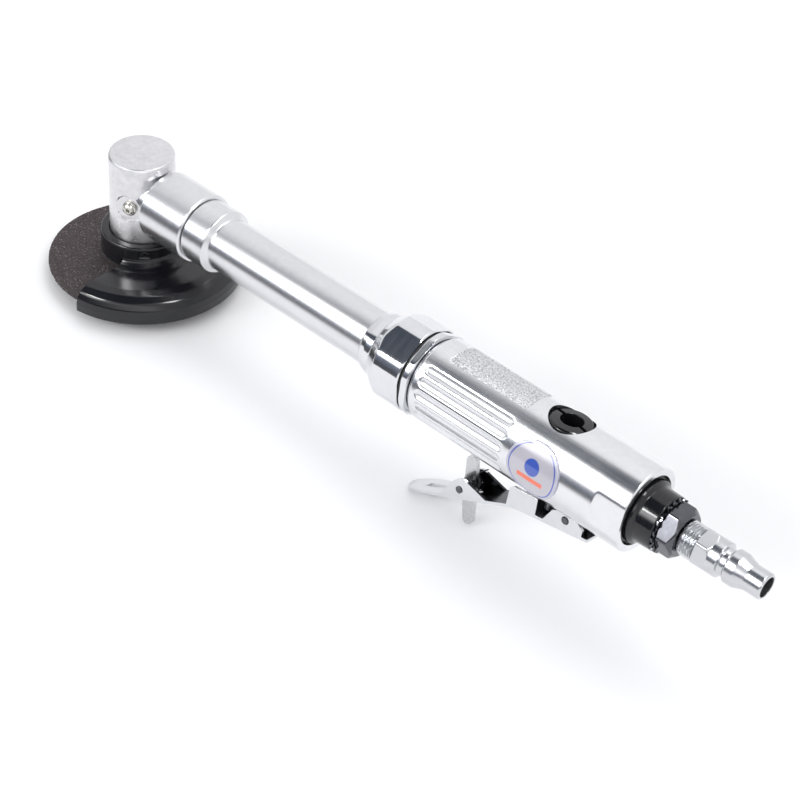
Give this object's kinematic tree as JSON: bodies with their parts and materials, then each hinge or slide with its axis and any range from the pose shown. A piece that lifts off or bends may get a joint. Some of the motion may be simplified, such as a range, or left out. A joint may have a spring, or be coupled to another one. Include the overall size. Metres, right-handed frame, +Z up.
{
  "type": "extended right-angle air cut-off grinder",
  "caption": "Long-necked air die grinder with a right-angle head, guarded cut-off wheel, vane motor housing, throttle lever with safety catch, regulator and air plug.",
  "frame": {"origin": "centre of the flat outer face of the wheel screw's hexagon, on the spindle axis", "axes": "+X along the neck and motor from the head towards the air plug, +Z up the spindle from the wheel to the head's top, +Y completes the right-handed frame; the motor housing is clocked 11 degrees about X against the head"},
  "size_m": [0.3402, 0.0806, 0.0642],
  "materials": {
    "satin_aluminium": "satin turned",
    "polished_aluminium": "fine satin, bright",
    "chrome_plate": "polished plate",
    "machined_steel": "ground",
    "dark_steel": "hardened, oiled",
    "black_oxide_steel": "black oxide",
    "gloss_black_paint": "gloss",
    "black_plastic": "semi-matte moulded",
    "zinc_plate": "bright zinc plate",
    "bonded_abrasive": "coarse resin-bonded grit with glass mesh",
    "black_rubber": "matte",
    "yellow_brass": "machined",
    "brown_phenolic": "matte",
    "grey_felt": "felted",
    "badge_face": "gloss dome"
  },
  "bodies": {
    "tool_body": {"angle_head_housing": "satin_aluminium", "grease_fitting": "yellow_brass", "upper_spindle_bearing": "machined_steel", "lower_spindle_bearing": "machined_steel", "lower_bearing_retainer": "dark_steel", "pinion_bearing": "machined_steel", "extension_tube": "satin_aluminium", "shaft_rear_bearing": "machined_steel", "coupling_nut": "chrome_plate", "coupling_seal_ring": "black_rubber", "motor_front_cap": "chrome_plate", "motor_housing": "polished_aluminium", "front_end_plate": "machined_steel", "front_rotor_bearing": "machined_steel", "cylinder_liner": "dark_steel", "rear_end_plate": "machined_steel", "rear_rotor_bearing": "machined_steel", "throttle_valve_bushing": "black_oxide_steel", "throttle_valve_spring": "machined_steel", "lever_pin": "machined_steel", "badge": "badge_face", "exhaust_muffler": "grey_felt", "exhaust_sleeve": "black_plastic", "tooth_lock_washer": "black_oxide_steel", "inlet_bushing": "black_oxide_steel", "air_plug": "zinc_plate"},
    "spindle_group": {"spindle": "machined_steel", "bevel_gear": "dark_steel", "inner_wheel_flange": "machined_steel", "cutting_wheel": "bonded_abrasive", "outer_wheel_flange": "machined_steel", "wheel_screw": "dark_steel"},
    "rotor_group": {"rotor": "machined_steel", "rotor_vane_1": "brown_phenolic", "rotor_vane_2": "brown_phenolic", "rotor_vane_3": "brown_phenolic", "rotor_vane_4": "brown_phenolic", "shaft_coupler": "dark_steel", "drive_shaft": "machined_steel", "bevel_pinion": "dark_steel"},
    "guard": {"wheel_guard": "gloss_black_paint", "guard_clamp_screw": "black_oxide_steel"},
    "lever": {"throttle_lever": "chrome_plate", "catch_pin": "machined_steel", "catch_spring": "dark_steel"},
    "catch": {"safety_catch": "machined_steel"},
    "valve": {"throttle_valve_stem": "machined_steel"},
    "regulator": {"air_regulator": "black_plastic", "regulator_o_ring": "black_rubber"}
  },
  "joints": [
    {"name": "spindle_spin", "type": "hinge", "parent": "tool_body", "child": "spindle_group", "pos_m": [0, 0, 0.0392], "axis": [0, 0, 1], "continuous": true},
    {"name": "rotor_spin", "type": "hinge", "parent": "tool_body", "child": "rotor_group", "pos_m": [0.1, 0, 0.0392], "axis": [1, 0, 0], "continuous": true},
    {"name": "guard_swivel", "type": "hinge", "parent": "tool_body", "child": "guard", "pos_m": [0, 0, 0.0185], "axis": [0, 0, 1], "continuous": true},
    {"name": "lever_press", "type": "hinge", "parent": "tool_body", "child": "lever", "pos_m": [0.2272, -0.00334, 0.02202], "axis": [0, 0.9816, -0.1908], "range_deg": [0, 9], "stiffness_Nm_per_rad": 2, "springref_deg": -17.19},
    {"name": "catch_fold", "type": "hinge", "parent": "lever", "child": "catch", "pos_m": [0.1823, -0.00609, 0.00789], "axis": [0, 0.9816, -0.1908], "range_deg": [0, 52.2]},
    {"name": "valve_slide", "type": "slide", "parent": "tool_body", "child": "valve", "axis": [0, 0.1908, 0.9816], "range_m": [0, 0.0018], "deforming": ["throttle_valve_spring"]},
    {"name": "regulator_turn", "type": "hinge", "parent": "tool_body", "child": "regulator", "pos_m": [0.2155, 0.00191, 0.04902], "axis": [0, 0.1908, 0.9816], "range_deg": [-45, 45]}
  ],
  "couplings": [
    {"joint": "rotor_spin", "follows": "spindle_spin", "ratio": 1.5},
    {"joint": "catch_fold", "follows": "lever_press", "ratio": 5.77},
    {"joint": "valve_slide", "follows": "lever_press", "m_per_rad": 0.0112}
  ]
}
